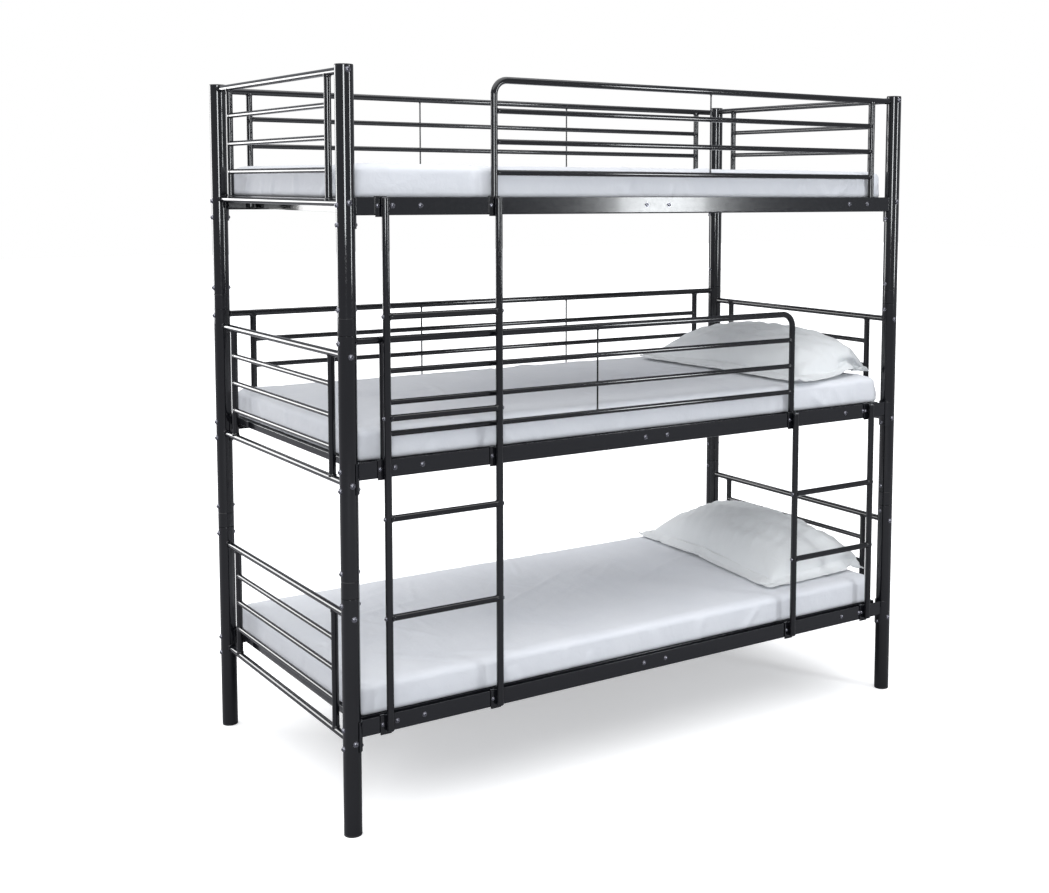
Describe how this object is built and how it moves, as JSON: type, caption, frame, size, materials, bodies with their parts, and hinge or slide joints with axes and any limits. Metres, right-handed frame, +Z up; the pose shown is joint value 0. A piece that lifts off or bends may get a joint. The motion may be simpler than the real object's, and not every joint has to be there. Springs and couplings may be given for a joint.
{
  "type": "bunk bed with ladder",
  "caption": "Tall bunk bed of round black steel tube with stacked single beds, guard rails, hook-on ladders, white mattresses and pillows",
  "frame": {"origin": "on the floor under the middle of the whole bed", "axes": "+X along the bed towards the pillows, +Y towards the back away from the ladders, +Z up"},
  "size_m": [1.998, 0.999, 2.009],
  "materials": {
    "black_paint": "gloss black stoved paint on steel tube",
    "base_paint": "satin black paint on square steel tube",
    "black_plastic": "moulded black plastic foot",
    "bolt_metal": "black-coated steel socket bolt heads",
    "sheet_fabric": "white cotton fitted sheet, softly creased",
    "pillow_fabric": "white cotton pillowcase with a flat border"
  },
  "bodies": {
    "frame": {"foot_front_left": "black_plastic", "post_front_left_bottom": "black_paint", "post_front_left_middle": "black_paint", "post_front_left_top": "black_paint", "collar_front_left_lower": "black_paint", "collar_front_left_upper": "black_paint", "foot_front_right": "black_plastic", "post_front_right_bottom": "black_paint", "post_front_right_middle": "black_paint", "post_front_right_top": "black_paint", "collar_front_right_lower": "black_paint", "collar_front_right_upper": "black_paint", "foot_back_left": "black_plastic", "post_back_left_bottom": "black_paint", "post_back_left_middle": "black_paint", "post_back_left_top": "black_paint", "collar_back_left_lower": "black_paint", "collar_back_left_upper": "black_paint", "foot_back_right": "black_plastic", "post_back_right_bottom": "black_paint", "post_back_right_middle": "black_paint", "post_back_right_top": "black_paint", "collar_back_right_lower": "black_paint", "collar_back_right_upper": "black_paint", "side_rail_front_bottom": "black_paint", "side_rail_front_middle": "black_paint", "side_rail_front_top": "black_paint", "side_rail_back_bottom": "black_paint", "side_rail_back_middle": "black_paint", "side_rail_back_top": "black_paint", "end_frame_left_bottom": "black_paint", "end_frame_left_middle": "black_paint", "end_frame_left_top": "black_paint", "end_frame_right_bottom": "black_paint", "end_frame_right_middle": "black_paint", "end_frame_right_top": "black_paint", "guard_rail_front_middle": "black_paint", "guard_rail_front_top": "black_paint", "guard_rail_back_middle": "black_paint", "guard_rail_back_top": "black_paint", "mattress_base_bottom": "base_paint", "mattress_base_middle": "base_paint", "mattress_base_top": "base_paint"},
    "mattress_bottom": {"mattress_bottom": "sheet_fabric"},
    "mattress_middle": {"mattress_middle": "sheet_fabric"},
    "mattress_top": {"mattress_top": "sheet_fabric"},
    "pillow_bottom": {"pillow_bottom": "pillow_fabric"},
    "pillow_middle": {"pillow_middle": "pillow_fabric"},
    "ladder_tall": {"ladder_tall_stile_left": "black_paint", "ladder_tall_stile_right": "black_paint", "ladder_tall_rung_1": "black_paint", "ladder_tall_rung_2": "black_paint", "ladder_tall_rung_3": "black_paint", "ladder_tall_rung_4": "black_paint"},
    "ladder_short": {"ladder_short_stile_left": "black_paint", "ladder_short_stile_right": "black_paint", "ladder_short_rung_1": "black_paint", "ladder_short_rung_2": "black_paint"}
  },
  "joints": [
    {"name": "ladder_tall_lift", "type": "slide", "parent": "frame", "child": "ladder_tall", "axis": [0, 0, 1], "range_m": [0, 0.045]},
    {"name": "ladder_short_lift", "type": "slide", "parent": "frame", "child": "ladder_short", "axis": [0, 0, 1], "range_m": [0, 0.045]},
    {"name": "mattress_bottom_lift", "type": "slide", "parent": "frame", "child": "mattress_bottom", "axis": [0, 0, 1], "range_m": [0, 0.12]},
    {"name": "mattress_middle_lift", "type": "slide", "parent": "frame", "child": "mattress_middle", "axis": [0, 0, 1], "range_m": [0, 0.12]},
    {"name": "mattress_top_lift", "type": "slide", "parent": "frame", "child": "mattress_top", "axis": [0, 0, 1], "range_m": [0, 0.12]},
    {"name": "pillow_bottom_lift", "type": "slide", "parent": "mattress_bottom", "child": "pillow_bottom", "axis": [0, 0, 1], "range_m": [0, 0.15]},
    {"name": "pillow_middle_lift", "type": "slide", "parent": "mattress_middle", "child": "pillow_middle", "axis": [0, 0, 1], "range_m": [0, 0.15]}
  ]
}
